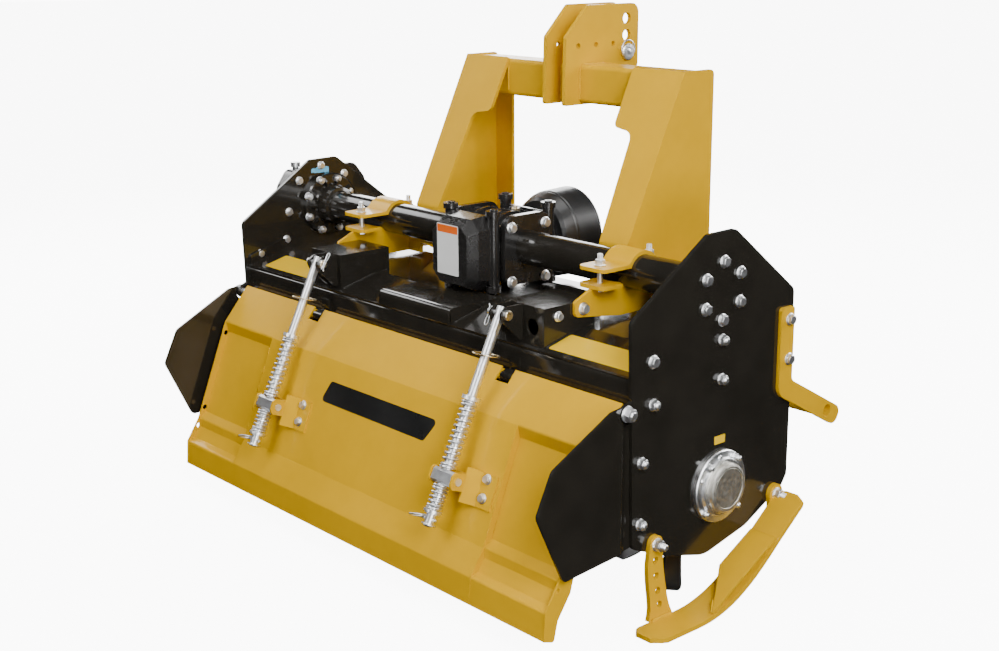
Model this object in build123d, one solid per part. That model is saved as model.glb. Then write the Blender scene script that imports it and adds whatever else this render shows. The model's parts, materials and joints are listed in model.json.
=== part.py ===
from build123d import *
import math
import os

# A rotary tiller for a small tractor's three-point hitch, in millimetres. Every piece is drawn
# from the middle of the rotor axis: X to the machine's right, Y forward to the tractor, Z up.
# save() then stands the whole machine on its skids, in the middle of its width and length.

# ---- driving dimensions ----
right_face, left_face = 655.0, 675.0    # gearbox middle to the outer faces of the side plates
plate_t = 8.0                           # side plate
sheet_t = 5.0                           # folded sheet of the hood and the side shields
rotor_z = 238.0                         # rotor axis above the skid soles
tip_gap = 1.0                           # blade tips above the skid soles
tube_y, tube_z = 0.0, 400.0             # cross tube, from the rotor axis
tube_r, tube_wall = 38.0, 6.0
mast_x, mast_top, mast_t = 354.0, 785.0, 8.0    # outer face, top and sheet of the mast uprights
clamp_out = 50.0                        # mast's outer face to the middle of a tube clamp
rod_x = 318.0                           # spring rods from the middle
guard_r = 103.0                         # drive shaft guard
skid_w = 80.0                           # side plate to the outer edge of a skid
shield_back, bracket_front = 495.0, 402.0       # rotor axis to the rearmost and foremost edges

# ---- clearances ----
running = 0.05                          # radial, of a shaft in its bearing
pivot_gap = 0.06                        # radial, of a pin in a joint that swings
slack = 5.0                             # between sheets that pass each other

tip_r = rotor_z - tip_gap
right_inner, left_inner = right_face - plate_t, left_face - plate_t
clamp_x = mast_x + clamp_out
middle = Pos((left_face - right_face) / 2, (shield_back - bracket_front) / 2, rotor_z)


# ---- drawing helpers ----
def outline(corners):
    """A flat face inside corners (y, z) or (y, z, radius)."""
    face = make_face(Polyline(*[corner[:2] for corner in corners], close=True))
    for y, z, *radius in corners:
        if radius:
            face = fillet(face.vertices().sort_by_distance((y, z, 0))[0], radius[0])
    return face


def plate(corners, x0, x1):
    """A flat plate from x0 to x1 whose outline is drawn in (y, z)."""
    return extrude(Plane.YZ.offset(x0) * outline(corners), amount=x1 - x0, dir=(1, 0, 0))


def plan(corners, z0, z1):
    """A block from z0 to z1 whose outline is drawn in (x, y)."""
    return extrude(Pos(0, 0, z0) * outline(corners), amount=z1 - z0, dir=(0, 0, 1))


def folded(line, t, radius):
    """Corners of a sheet t thick on the left of a line, bent at each inner point."""
    near, far = [line[0]], []
    for i, (y, z) in enumerate(line):
        normals, steps = [], []
        for a, b in ((i - 1, i), (i, i + 1)):
            if a >= 0 and b < len(line):
                step = Vector(line[b][0] - line[a][0], line[b][1] - line[a][1]).normalized()
                steps.append(step)
                normals.append(Vector(-step.Y, step.X))
        mitre = sum(normals, Vector())
        mitre = mitre * (len(normals) * t / mitre.dot(mitre))
        inner = 0 < i < len(line) - 1
        outside = inner and steps[0].cross(steps[1]).Z * t > 0
        bend = (abs(t) + radius, radius) if outside else (radius, abs(t) + radius)
        if inner:
            near.append((y, z, bend[0]))
        far.append((y + mitre.X, z + mitre.Y) + ((bend[1],) if inner else ()))
    return near + [line[-1]] + far[::-1]


def box(x0, x1, y0, y1, z0, z1):
    return Pos(x0, y0, z0) * Box(x1 - x0, y1 - y0, z1 - z0, align=(Align.MIN,) * 3)


def bar(start, end, r):
    """A round bar of radius r from start to end."""
    axis = Vector(*end) - Vector(*start)
    return extrude(Plane(origin=start, z_dir=axis) * Circle(r), amount=axis.length)


def across(y, z, x0, x1, r):
    """A round bar along X."""
    return bar((x0, y, z), (x1, y, z), r)


def sleeve(y, z, x0, x1, r, hole):
    """A round tube along X."""
    return across(y, z, x0, x1, r) - across(y, z, x0, x1, hole)


def turned(start, direction, profile):
    """A turned piece: its section is (distance from start, radius), closed on itself."""
    side = Plane(origin=start, x_dir=direction, z_dir=Vector(*direction).cross(Vector(0, 0, 1)))
    return revolve(side * make_face(Polyline(*profile, close=True)), Axis(start, direction))


def square_tube(x0, x1, y0, z0, depth, height, wall, radius):
    """A square tube along X with rounded edges, open at both ends."""
    centre = Plane.YZ.offset(x0) * Pos(y0 + depth / 2, z0 + height / 2)
    ring = RectangleRounded(depth, height, radius) \
        - RectangleRounded(depth - 2 * wall, height - 2 * wall, radius - wall)
    return extrude(centre * ring, amount=x1 - x0, dir=(1, 0, 0))


def mirrored(shape):
    return mirror(shape, about=Plane.YZ)


nodes = {}


def pair(name, right, left=None):
    """Adds the right piece and its mirror image, or the left piece given."""
    nodes["right_" + name] = right
    nodes["left_" + name] = mirrored(right) if left is None else left


# ---- side plates ----
hinge_y, hinge_z, hinge_r = -267.0, 209.0, 8.0
hub_r = 40.0                            # hole for the rotor's stub shafts
ear_r = 16.0                            # round the tailgate's hinge rod


def side_plate(outer_face):
    """Drawn on the right: a plate from the hood's edge to under the rotor axis, with a hinge ear."""
    x0, x1 = outer_face - plate_t, outer_face
    shape = plate([(-259, tube_z - 19, 18), (-53, tube_z + 117, 25), (28, tube_z + 118, 25),
                   (219, tube_z - 31, 20), (221, -31, 10), (206, -53, 12), (90, -111, 40),
                   (-37, -140, 80), (-152, -108, 60), (-247, -67, 14)], x0, x1)
    shape += across(hinge_y, hinge_z, x0, x1, ear_r)
    shape += plate([(hinge_y, hinge_z - ear_r), (-230, hinge_z - 2 * ear_r),
                    (-230, hinge_z + 2 * ear_r), (hinge_y, hinge_z + ear_r)], x0, x1)
    shape -= across(hinge_y, hinge_z, x0, x1, hinge_r)
    return shape - across(0, 0, x0, x1, hub_r)


nodes["right_side_plate"] = side_plate(right_face)
nodes["left_side_plate"] = mirrored(
    side_plate(left_face) - across(tube_y, tube_z, left_inner, left_face, tube_r - tube_wall))

# ---- hood: beams, deck and the gearbox's seat ----
beam_y, beam_z, beam_d, beam_h, beam_wall = -250.0, 214.0, 50.0, 54.0, 4.0
rail_y, rail_z, rail_d, rail_h = 150.0, 212.0, 60.0, 60.0
deck_z = 297.0                          # underside of the flat deck
deck_line = [(beam_y + 4, beam_z + beam_h), (-130, deck_z), (95, deck_z), (112, rail_z + rail_h),
             (rail_y + rail_d + 2, rail_z + rail_h)]
deck_corners = folded(deck_line, sheet_t, 6)
deck_top = deck_z + sheet_t
seat_top = deck_top + sheet_t
seat_x = 121.0

nodes["rear_beam"] = square_tube(-left_inner, right_inner, beam_y, beam_z, beam_d, beam_h,
                                 beam_wall, 8)
nodes["front_beam"] = square_tube(-left_inner, right_inner, rail_y, rail_z, rail_d, rail_h,
                                  beam_wall, 8)
deck = plate(deck_corners, -left_inner, right_inner)
tab_t = 6.0                             # end tabs that bolt to the side plates
tab_corners = [(beam_y + 6, beam_z + beam_h + 2), (-130, deck_top - 2), (-40, deck_top - 2),
               (-48, deck_top + 24, 12), (-150, deck_top + 24, 20), (beam_y + 6, deck_top - 4, 6)]
for x0 in (-left_inner, right_inner - tab_t):
    deck += plate(tab_corners, x0, x0 + tab_t)
nodes["deck"] = deck
under_deck = plate(deck_corners[len(deck_line):] + [(beam_y, 150), (rail_y + rail_d + 2, 150)],
                   -left_inner, right_inner)

seat_line = [(beam_y + 2, beam_z + beam_h + 6), (beam_y + 2, deck_top), (-104, deck_top)]
seat = plate(folded(seat_line, sheet_t, 10), -seat_x, seat_x)
for x0 in (-seat_x, seat_x - tab_t):    # a gusset closes each end
    seat += plate([(beam_y + 4, beam_z + beam_h), (beam_y + 4, deck_top + 1), (-110, deck_top + 1)],
                  x0, x0 + tab_t)
nodes["gearbox_seat"] = seat - under_deck

# ---- cross tube ----
flange_x, flange_t = 95.0, 16.0         # gearbox's side flanges
disc_r, disc_t, neck_r, neck_l = 79.0, 12.0, 50.0, 52.0
neck_fins = 10


def tube_end(face, inward):
    """A cast flange that bolts the tube to a side plate, with fins round its neck."""
    bore = tube_r - tube_wall
    disc = turned((face, tube_y, tube_z), (inward, 0, 0),
                  [(0, bore), (0, disc_r), (disc_t, disc_r), (disc_t + 3, disc_r - 4),
                   (disc_t + 3, neck_r + 3), (disc_t + 8, neck_r), (neck_l, neck_r - 4),
                   (neck_l + 3, tube_r), (neck_l + 3, bore)])
    fin = plate([(neck_r - 4, -3), (disc_r - 6, -3), (disc_r - 6, 3), (neck_r - 4, 3)],
                disc_t, disc_t + 12)
    fin = chamfer(fin.edges().filter_by(Axis.Z).sort_by(Axis.X)[-2:].sort_by(Axis.Y)[-1], 11)
    if inward < 0:
        fin = mirrored(fin)
    for i in range(neck_fins):
        disc += Pos(face, tube_y, tube_z) * Rot(360 / neck_fins * i, 0, 0) * fin
    return disc


def cross_tube(x0, x1):
    return sleeve(tube_y, tube_z, x0, x1, tube_r, tube_r - tube_wall)


nodes["drive_tube"] = cross_tube(-left_inner, -flange_x) + tube_end(-left_inner, 1)
nodes["support_tube"] = cross_tube(flange_x, right_inner) + tube_end(right_inner, -1)

# ---- gearbox: one casting, and the drive shaft's guard ----
shaft_z = tube_z - 5                    # input shaft
shaft_r, shaft_back, shaft_end = 17.45, 62.0, 205.0
core_x, core_back, core_front = 74.0, -86.0, 88.0
dome_r = tube_r + 28
cover_y, cover_w, cover_h = -147.0, 62.0, 74.0  # octagonal rear cover
guard_back, guard_front, guard_wall = 118.0, 222.0, 4.0
post_r, post_cap_r, post_y = 13.0, 17.0, 82.0
post_top = tube_z + 88


def octagon(half_w, half_h, cut, y):
    """An eight-sided face round the tube's axis, at y."""
    corners = [(half_w, half_h - cut), (half_w - cut, half_h), (cut - half_w, half_h),
               (-half_w, half_h - cut)]
    ring = corners + [(-x, -z) for x, z in corners]
    return Plane(origin=(0, y, shaft_z - 3), x_dir=(1, 0, 0), z_dir=(0, -1, 0)) \
        * make_face(Polyline(*ring, close=True))


def gearbox():
    core = Pos(0, (core_back + core_front) / 2, (seat_top + 22 + tube_z + 52) / 2) \
        * Box(2 * core_x, core_front - core_back, tube_z + 52 - seat_top - 22)
    core = fillet(core.edges().filter_by(Axis.Z), 20)
    core = fillet(core.edges().group_by(Axis.Z)[-1], 8)
    casting = core + across(tube_y, tube_z, -core_x - 10, core_x + 10, dome_r)
    # side flanges that hold the tubes
    for x0 in (-flange_x, flange_x - flange_t):
        casting += plate([(-68, tube_z - 80, 22), (68, tube_z - 80, 22), (68, tube_z + 74, 30),
                          (-68, tube_z + 74, 30)], x0, x0 + flange_t)
    # rear cover: a tapered octagon with a raised rim
    casting += loft([octagon(cover_w + 16, cover_h + 10, 26, core_back),
                     octagon(cover_w + 8, cover_h + 4, 24, cover_y + 24)])
    casting += loft([octagon(cover_w + 8, cover_h + 4, 24, cover_y + 24),
                     octagon(cover_w - 4, cover_h - 8, 22, cover_y)])
    # input neck, with a bore for the shaft
    casting += turned((0, core_front, shaft_z), (0, 1, 0),
                      [(-20, 0), (-20, 66), (8, 66), (20, 58), (guard_back - core_front, 58),
                       (guard_back - core_front, 64), (guard_back - core_front + 10, 64),
                       (guard_back - core_front + 10, 0)])
    # four bolt posts, each webbed to the core
    for side in (-1, 1):
        for end in (-1, 1):
            x, y = side * (core_x - 2), end * post_y
            casting += bar((x, y, seat_top), (x, y, post_top), post_r)
            casting += bar((x, y, post_top - 12), (x, y, post_top), post_cap_r)
            casting += bar((x, y, seat_top), (x, y, seat_top + 14), post_cap_r)
            casting += box(min(x, 0), max(x, 0), y - 4, y + 4, seat_top + 30, post_top - 22)
    # ribs over the dome
    rib = turned((0, tube_y, tube_z), (1, 0, 0), [(-4, 40), (-4, dome_r + 7), (4, dome_r + 7), (4, 40)])
    for x in (-40, 0, 40):
        casting += (Pos(x, 0, 0) * rib) & box(-100, 100, -60, 60, tube_z, tube_z + 100)
    return casting - bar((0, shaft_back - 2, shaft_z), (0, guard_front, shaft_z), shaft_r + running)


nodes["gearbox_housing"] = gearbox()

# six splines, and the groove that a yoke's lock pin drops into
shaft = bar((0, shaft_back, shaft_z), (0, shaft_end, shaft_z), shaft_r)
shaft = chamfer(shaft.edges().filter_by(GeomType.CIRCLE).sort_by(Axis.Y)[-1], 3)
spline_back, groove_w, groove_d = 138.0, 9.0, 2.9
for i in range(6):
    groove = box(-groove_w / 2, groove_w / 2, spline_back, shaft_end, shaft_r - groove_d, shaft_r + 5)
    shaft -= Pos(0, 0, shaft_z) * Rot(0, 60 * i + 30, 0) * groove
shaft -= turned((0, shaft_end - 38, shaft_z), (0, 1, 0),
                [(-4, shaft_r - 4), (-4, shaft_r + 5), (4, shaft_r + 5), (4, shaft_r - 4)])
nodes["input_shaft"] = shaft

guard_depth = guard_front - guard_back
guard = turned((0, guard_back, shaft_z), (0, 1, 0),
               [(0, 64), (0, guard_r - 22), (8, guard_r - 15), (30, guard_r - 5),
                (34, guard_r - 5), (38, guard_r - 3), (guard_depth, guard_r),
                (guard_depth, guard_r - guard_wall), (38, guard_r - 3 - guard_wall),
                (31, guard_r - 5 - guard_wall), (10, guard_r - 14 - guard_wall),
                (5, guard_r - 22 - guard_wall), (5, 64)])
nodes["pto_guard"] = guard

# ---- mast ----
mast_inner = mast_x - mast_t
cross_z, cross_h = 695.0, 86.0
cross_y, cross_d = 212.0, 84.0          # crossbeam's rear face and depth
mast_front = cross_y + cross_d + mast_t
fold_y = tube_y + tube_r + slack         # the fold stands just clear of the cross tube
fold_top, fold_low, fold_foot = (cross_y - 2, mast_top), (fold_y, tube_z + 34), (fold_y, tube_z - 60)
wide, narrow_top, narrow_low = 150.0, 92.0, 78.0    # rear flange over and under the crossbeam
shoulder_z = cross_z - 33
hitch_y, hitch_z, hitch_r = 285.0, 342.0, 11.0      # lower hitch pins
hitch_plate = 12.0


def mast_upright():
    """A folded channel: a side web, a sloping rear flange and a front flange."""
    web = plate([fold_top, (mast_front, mast_top, 12), (mast_front, hitch_z - 42, 14),
                 (mast_front - 40, hitch_z - 60, 14), (160, hitch_z - 60, 14), fold_foot, fold_low],
                mast_inner, mast_x)
    flange = plate(folded([fold_foot, fold_low, fold_top], -mast_t, 6), 0, mast_x)
    keep = [(mast_x, mast_top), (mast_x - wide, mast_top, 6), (mast_x - wide, shoulder_z, 14),
            (mast_x - narrow_top, shoulder_z - 8, 22), (mast_x - narrow_low, fold_foot[1], 8),
            (mast_x, fold_foot[1])]
    flange &= extrude(Plane.XZ.offset(-400) * outline(keep), amount=800)
    front = box(mast_x - 68, mast_x, mast_front - mast_t, mast_front, hitch_z + 26, cross_z)
    return web + flange + front - under_deck


upright = mast_upright()
nodes["mast_crossbeam"] = square_tube(-mast_inner, mast_inner, cross_y, cross_z, cross_d, cross_h,
                                      6, 10) - (upright + mirrored(upright))
pair("mast_upright", upright - across(hitch_y, hitch_z, 0, mast_x, hitch_r))

link_gap, link_t = 54.0, 10.0           # between the top link plates, and their thickness
link_y, link_r = 363.0, 12.85           # top link holes
link_z = (802.0, 840.0, 878.0)
link_out = link_gap / 2 + link_t
bracket_back, bracket_top = 165.0, 912.0
link_plate = plate([(bracket_back, cross_z - 4, 6), (bracket_back + 4, 843, 10),
                    (237, bracket_top, 14), (bracket_front, bracket_top, 22),
                    (bracket_front, link_z[0] - 34, 22), (cross_y + cross_d + 30, cross_z - 4, 14)],
                   link_gap / 2, link_out)
crossbeam_space = plate([(cross_y, cross_z, 10), (cross_y + cross_d, cross_z, 10),
                         (cross_y + cross_d, cross_z + cross_h, 10), (cross_y, cross_z + cross_h, 10)],
                        0, link_out)
link_plate -= crossbeam_space
for z in link_z:
    link_plate -= across(link_y, z, 0, link_out, link_r)
for y in (207, 263, 318):
    link_plate -= across(y, 823, 0, link_out, 6)
nodes["top_link_bracket"] = Compound([link_plate, mirrored(link_plate)])
pin_r, pin_head_r = 12.75, 18.0
nodes["top_link_pin"] = across(link_y, link_z[0], -link_out - 22, link_out + 9, pin_r) \
    + across(link_y, link_z[0], link_out, link_out + 8, pin_head_r)

# ---- tube clamps ----
strap_w, strap_t = 75.0, 8.0
ear_end, ear_gap = 116.0, 14.0          # how far the ears reach, and from the tube's axis to an ear
clamp_x0, clamp_x1 = clamp_x - strap_w / 2, clamp_x + strap_w / 2
web_x = clamp_x - 4                     # inner face of the upright web under a clamp
web_t = 8.0


def strap(front_end):
    """The upper strap: half a ring over the tube, with an ear each side, drawn in (y, z)."""
    face = Circle(tube_r + strap_t)
    face += Pos(-ear_end, ear_gap) * Rectangle(ear_end + front_end, strap_t,
                                               align=(Align.MIN, Align.MIN))
    hollows = [v for v in face.vertices() if abs(abs(v.X) - tube_r) < 12 and v.Z == 0
               and abs(v.Y - ear_gap - strap_t) < 0.01]
    face = fillet(hollows, 14)
    face -= Circle(tube_r)
    return face - Pos(0, ear_gap) * Rectangle(400, 400, align=(Align.CENTER, Align.MAX))


def ear_corners(y0, y1, z0, z1):
    """A block that rounds the outer corners of the ears, seen from above."""
    return plan([(clamp_x0, y0, 14), (clamp_x1, y0, 14), (clamp_x1, y1, 14), (clamp_x0, y1, 14)],
                z0, z1)


front_ear = 62.0
saddle = extrude(Plane.YZ.offset(clamp_x0) * Pos(tube_y, tube_z) * strap(front_ear),
                 amount=strap_w, dir=(1, 0, 0))
saddle &= ear_corners(-ear_end, front_ear, tube_z, tube_z + 200)

low_ear = [(-ear_end, tube_z - ear_gap - strap_t), (-tube_r - 22, tube_z - ear_gap - strap_t),
           (-tube_r - 22, tube_z - ear_gap), (-ear_end, tube_z - ear_gap)]
bracket = plate(low_ear, clamp_x0, clamp_x1)
bracket &= ear_corners(-ear_end, 0, 0, tube_z)
web_back, web_low, web_front = -160.0, deck_top + 22, 96.0
bracket += plate([(-ear_end + 2, tube_z - ear_gap - strap_t), (web_back, tube_z - 42, 8),
                  (web_back, web_low + 3, 10), (-30, deck_top + 8), (web_front, deck_top + 8),
                  (web_front, tube_z - ear_gap), (tube_r + 4, tube_z - ear_gap),
                  (0, tube_z - tube_r + 8), (-tube_r - 22, tube_z - ear_gap)],
                 web_x, web_x + web_t)
bracket += plate([(tube_r + 10, tube_z - ear_gap - strap_t), (front_ear, tube_z - ear_gap - strap_t),
                  (front_ear, tube_z - ear_gap), (tube_r + 10, tube_z - ear_gap)],
                 mast_x, clamp_x1)
bracket += box(mast_x, web_x, 52, 60, deck_top + 8, tube_z - ear_gap - strap_t)
bracket -= across(tube_y, tube_z, clamp_x0, clamp_x1, tube_r)
pair("clamp_saddle", saddle)
pair("clamp_bracket", bracket)

# ---- lower hitch: a plate each side, with a pin that ends free outside it ----
hitch_x0 = clamp_x + 4
collar_r, collar_t, pin_free = 18.0, 10.0, 62.0
hitch = plate([(56, deck_top + 12, 10), (56, tube_z - ear_gap - strap_t - 2, 10),
               (120, hitch_z + 34, 20), (hitch_y + 30, hitch_z + 34, 28),
               (hitch_y + 30, hitch_z - 32, 28), (190, deck_top + 2, 20)],
              hitch_x0, hitch_x0 + hitch_plate)
hitch += box(mast_x, hitch_x0, 190, 200, hitch_z - 26, hitch_z + 26)
pair("hitch", hitch - across(hitch_y, hitch_z, hitch_x0, hitch_x0 + hitch_plate, hitch_r))
pin_shoulder = hitch_x0 + hitch_plate + collar_t
pin_in = mast_inner - 22
hitch_pin = across(hitch_y, hitch_z, pin_in, pin_shoulder + pin_free, hitch_r)
hitch_pin = chamfer(hitch_pin.edges().filter_by(GeomType.CIRCLE).sort_by(Axis.X)[-1], 3)
hitch_pin += across(hitch_y, hitch_z, pin_shoulder - collar_t, pin_shoulder, collar_r)
hitch_pin += across(hitch_y, hitch_z, mast_inner - 12, mast_inner, collar_r)
pair("hitch_pin", hitch_pin)

# ---- hangers that hold the spring rods ----
pin_y, pin_z = -281.0, 340.0
rod_r, rod_end, trunnion_at = 10.0, 444.0, 341.0    # along the rod, from its pin
rod_pin_r = 6.0
hang_x0, hang_x1 = rod_x - 33, web_x
hang_back, hang_front, hang_top, hang_t = -238.0, -98.0, 356.0, 5.0
ear_x, ear_t = 14.0, 5.0                # rod's middle to the inner face of an ear


def hanger():
    """A box of folded sheet on the deck, with two ears that reach back round the rod."""
    side = [(hang_back, 240), (hang_back, hang_top - 1, 6), (hang_front, hang_top - 1, 6),
            (hang_front, 240)]
    shape = plate(side, hang_x0, hang_x0 + hang_t) + plate(side, hang_x1 - hang_t, hang_x1)
    shape += box(hang_x0, hang_x1, hang_back, hang_front, hang_top - hang_t, hang_top)
    shape += box(hang_x0, hang_x1, hang_back, hang_back + hang_t, 240, hang_top)
    shape -= bar(((hang_x1 + rod_x + ear_x) / 2, hang_back - 5, 314),
                 ((hang_x1 + rod_x + ear_x) / 2, hang_back + 10, 314), 17)
    ear = [(hang_back, 276, 4), (hang_back, hang_top), (pin_y + 4, hang_top, 10),
           (pin_y - 16, pin_z + 4, 10), (pin_y - 8, pin_z - 16, 8)]
    for x in (rod_x - ear_x - ear_t, rod_x + ear_x):
        shape += plate(ear, x, x + ear_t)
    return shape - across(pin_y, pin_z, hang_x0 - 5, hang_x1, rod_pin_r)


pair("hanger", hanger() - under_deck - box(0, 500, beam_y, beam_y + beam_d, 0, beam_z + beam_h))

# ---- tailgate ----
gate_t = 4.0
gate_half = min(right_inner, left_inner) - 3
knuckle_x, knuckle_w = 330.0, 30.0      # fixed hinge blocks
gate_top, gate_knee, gate_waist, gate_lip, gate_foot = \
    (-269.0, 228.0), (-338.0, 148.0), (-429.0, -82.0), (-463.0, -134.0), (-467.0, -190.0)
rib_x, recess = 430.0, 15.0             # the middle panel stands proud of the two beside it


def beside(start, end, along, depth):
    """A point on the way from start to end, along from start (or back from end), depth inside."""
    step = Vector(end[0] - start[0], end[1] - start[1])
    unit = step.normalized()
    base = Vector(*start) if along >= 0 else Vector(*end)
    point = base + unit * along + Vector(-unit.Y, unit.X) * depth
    return point.X, point.Y


outer_line = [gate_top, gate_knee, gate_waist, gate_lip, gate_foot]
side_line = [gate_top, gate_knee,
             beside(gate_knee, gate_waist, 22, recess), beside(gate_knee, gate_waist, -20, recess),
             beside(gate_knee, gate_waist, -1, 3),
             beside(gate_waist, gate_lip, 16, recess - 3), beside(gate_waist, gate_lip, -16, recess - 3),
             beside(gate_waist, gate_lip, -1, 1), gate_foot]


def tailgate():
    gate = plate(folded(outer_line, gate_t, 6), -rib_x, rib_x)
    panel = folded(side_line, gate_t, 3)
    gate += plate(panel, rib_x, gate_half) + plate(panel, -gate_half, -rib_x)
    rib = folded(outer_line, 26, 2)
    rib_space = plate([(-300, 170), (-500, 170), (-500, -170), (-300, -170)], -700, 700)
    for x in (-rib_x - gate_t / 2, rib_x - gate_t / 2):
        gate += plate(rib, x, x + gate_t) & rib_space
    end = [(-318, 171), (-302, 152, 8), (-306, 118, 10), (-389, -77, 10), (-399, -112, 10),
           (-431, -158, 10), (-441, -199, 6), gate_foot, gate_lip, gate_waist, gate_knee]
    end_holes = [(-339, 120), (-410, -57), (-430, -100)]
    for x0 in (-gate_half, gate_half - gate_t):
        cheek = plate(end, x0, x0 + gate_t)
        for y, z in end_holes:
            cheek -= across(y, z, x0, x0 + gate_t, 6)
        gate += cheek
    # hinge sleeve under the top edge, open at the two fixed blocks
    gate += across(hinge_y, hinge_z, -gate_half, gate_half, hinge_r + gate_t)
    for x in (-knuckle_x, knuckle_x):
        half = knuckle_w / 2 + slack
        gate -= across(hinge_y, hinge_z, x - half, x + half, 24)
        gate -= box(x - half, x + half, hinge_y - 20, hinge_y + 30, hinge_z, hinge_z + 40)
    return gate - across(hinge_y, hinge_z, -gate_half, gate_half, hinge_r + pivot_gap)


nodes["tailgate_panel"] = tailgate()
hinge_end = 4.0                         # rod past each side plate, for its nuts
nodes["hinge_rod"] = across(hinge_y, hinge_z, -left_face - hinge_end, right_face + hinge_end, hinge_r)
block = plate([(hinge_y - 2, hinge_z - 13, 6), (beam_y, hinge_z - 13), (beam_y, beam_z + 6),
               (hinge_y + 4, hinge_z + 13, 4), (hinge_y - 13, hinge_z + 8, 8),
               (hinge_y - 13, hinge_z - 8, 8)], -knuckle_w / 2, knuckle_w / 2)
block += box(-knuckle_w / 2, knuckle_w / 2, beam_y - 4, beam_y, hinge_z - 13, beam_z + 34)
block -= across(hinge_y, hinge_z, -knuckle_w, knuckle_w, hinge_r)
nodes["hinge_blocks"] = Compound([Pos(-knuckle_x, 0, 0) * block, Pos(knuckle_x, 0, 0) * block])

# ---- spring rods, drawn at X = 0 ----
gate_down = Vector(0, gate_waist[0] - gate_knee[0], gate_waist[1] - gate_knee[1]).normalized()
rod_dir = Vector(0, -194, -399).normalized()
pin = Vector(0, pin_y, pin_z)
block_w0, block_w1, block_h = -23.0, 35.0, 30.0     # trunnion block beside the rod, and its height
trunnion_pin_r, rod_bore = 8.0, 12.0
spring_r, collar_h = 17.0, 8.0
spring_top, low_spring_end = 182.0, 410.0


def on_rod(d):
    return pin + rod_dir * d


def rod_bar(d0, d1, r):
    return bar(on_rod(d0), on_rod(d1), r)


trunnion_c = on_rod(trunnion_at)
rod = rod_bar(-14, rod_end, rod_r)
for side in (-1, 1):                    # pressed flat where the pin goes through
    flat = Plane(origin=on_rod(-20), x_dir=(1, 0, 0), z_dir=rod_dir) \
        * Pos(side * 13.5, 0, 30) * Box(10, 40, 60)
    rod -= flat
rod -= across(pin_y, pin_z, -rod_r, rod_r, rod_pin_r + pivot_gap)
rod = chamfer(rod.edges().filter_by(GeomType.CIRCLE).sort_by(Axis.Z)[0], 2)
stops = [rod_bar(spring_top - collar_h, spring_top, spring_r + 2) - rod_bar(0, rod_end, rod_r),
         rod_bar(low_spring_end, low_spring_end + 5, spring_r + 2) - rod_bar(0, rod_end, rod_r)]
spring = rod_bar(spring_top, trunnion_at - block_h / 2, spring_r) - rod_bar(0, rod_end, rod_r + 0.3)
low_spring = rod_bar(trunnion_at + block_h / 2, low_spring_end, spring_r) \
    - rod_bar(0, rod_end, rod_r + 0.3)
block_axes = Plane(origin=trunnion_c, x_dir=(1, 0, 0), z_dir=rod_dir)
trunnion = block_axes * Pos((block_w0 + block_w1) / 2, 0, 0) * Box(block_w1 - block_w0, block_h, block_h)
trunnion = chamfer(trunnion.edges().filter_by(Axis.X), 5)
trunnion += across(trunnion_c.Y, trunnion_c.Z, block_w0 - 9, block_w1 + 9, trunnion_pin_r)
trunnion -= rod_bar(trunnion_at - 40, trunnion_at + 40, rod_bore)
rod_pin = across(pin_y, pin_z, -ear_x - ear_t - 14, ear_x + ear_t + 4, rod_pin_r) \
    + across(pin_y, pin_z, ear_x + ear_t, ear_x + ear_t + 8, 10)


def trunnion_bracket():
    """A folded bracket on the tailgate whose two walls hold the trunnion block's pins."""
    face = Plane(origin=(0, *gate_knee), x_dir=(1, 0, 0), z_dir=gate_down)   # local Y stands off
    out = face.to_local_coords(trunnion_c)
    sign = 1 if out.Y > 0 else -1
    wall0, wall1 = block_w0 - 6, block_w1 + 2
    reach = abs(out.Y) + 17
    profile = [(wall0, reach), (wall0, 14), (wall1 + 4, 14), (wall1 + 24, 0), (wall1 + 68, 0),
               (wall1 + 68, 4), (wall1 + 27, 4), (wall1 + 4, 26), (wall1 + 4, reach),
               (wall1, reach), (wall1, 18), (wall0 + 4, 18), (wall0 + 4, reach)]
    section = make_face(Polyline(*[(x, sign * y) for x, y in profile], close=True))
    shape = extrude(face * Pos(0, 0, out.Z - 32) * section, amount=70, dir=tuple(gate_down))
    window = Plane(origin=trunnion_c, x_dir=tuple(gate_down), z_dir=(1, 0, 0))
    ends = window * RectangleRounded(36, 34, 12)
    walls = extrude(ends, amount=100, both=True)
    foot = extrude(face * Pos(0, sign * 13, out.Z - 32) * Pos(wall1 + 36, 0)
                   * Rectangle(80, 26), amount=70, dir=tuple(gate_down))
    web = extrude(face * Pos((wall0 + wall1) / 2 + 2, sign * (reach / 2 - 4), out.Z - 18)
                  * Rectangle(wall1 - wall0 + 4, reach - 8), amount=36, dir=tuple(gate_down))
    shape = shape & (walls + web + foot)
    return shape - across(trunnion_c.Y, trunnion_c.Z, wall0 - 1, wall1 + 6, trunnion_pin_r + pivot_gap)


for name, piece in (("rod", rod), ("stops", Compound(stops)), ("spring", spring),
                    ("lower_spring", low_spring), ("trunnion", trunnion), ("rod_pin", rod_pin),
                    ("trunnion_bracket", trunnion_bracket())):
    pair(name, Pos(rod_x, 0, 0) * piece, Pos(-rod_x, 0, 0) * piece)

# ---- rotor ----
rotor_gap = 43.0                        # side plate to the end flanges
shaft_tube_r, shaft_tube_wall = 38.0, 6.0
stub_r, disc_thick, disc_out = 24.0, 8.0, 90.0
flange_count = 6
blade_t, blade_reach = 7.0, 52.0
first_x, last_x = -left_inner + rotor_gap, right_inner - rotor_gap
lean = 22.0                             # a blade's shank leads its tip by this angle
first_turn, twist = 70.0, -22.4         # how far the first flange and each next one are turned


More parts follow.
